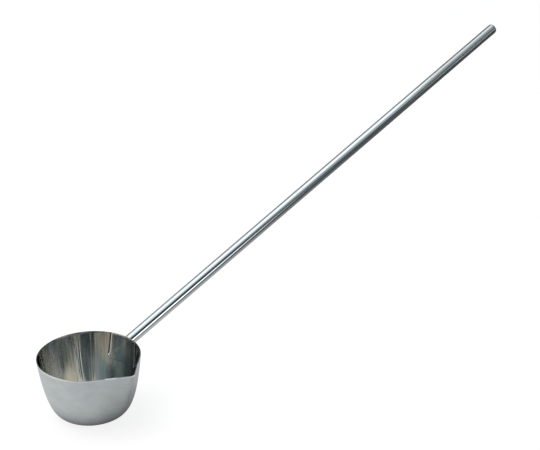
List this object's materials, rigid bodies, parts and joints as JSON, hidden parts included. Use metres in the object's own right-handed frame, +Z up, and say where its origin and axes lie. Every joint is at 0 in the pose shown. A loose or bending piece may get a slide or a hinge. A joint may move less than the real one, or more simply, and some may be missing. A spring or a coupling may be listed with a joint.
{
  "type": "spouted water dipper",
  "caption": "Stainless water dipper: a flat-based pressed bowl with a folded V pouring lip at one side and a long straight tube handle welded below the rim, for ladling and pouring liquid.",
  "frame": {"origin": "centre of the bowl's flat base, on the surface it stands on", "axes": "+Z up along the bowl's axis, +X towards the handle, -Y towards the pouring lip"},
  "size_m": [0.9793, 0.1572, 0.3036],
  "materials": {
    "bowl_steel": "satin outside with fine lines round the bowl, half-polished inside",
    "plate_steel": "half-polished sheet",
    "tube_steel": "polished stainless tube with fine lengthwise lines",
    "weld_steel": "dressed weld with a straw heat tint"
  },
  "bodies": {
    "root": {"bowl": "bowl_steel", "backing_plate": "plate_steel", "handle_tube": "tube_steel", "handle_end_cap": "tube_steel", "handle_weld": "weld_steel"}
  },
  "joints": []
}
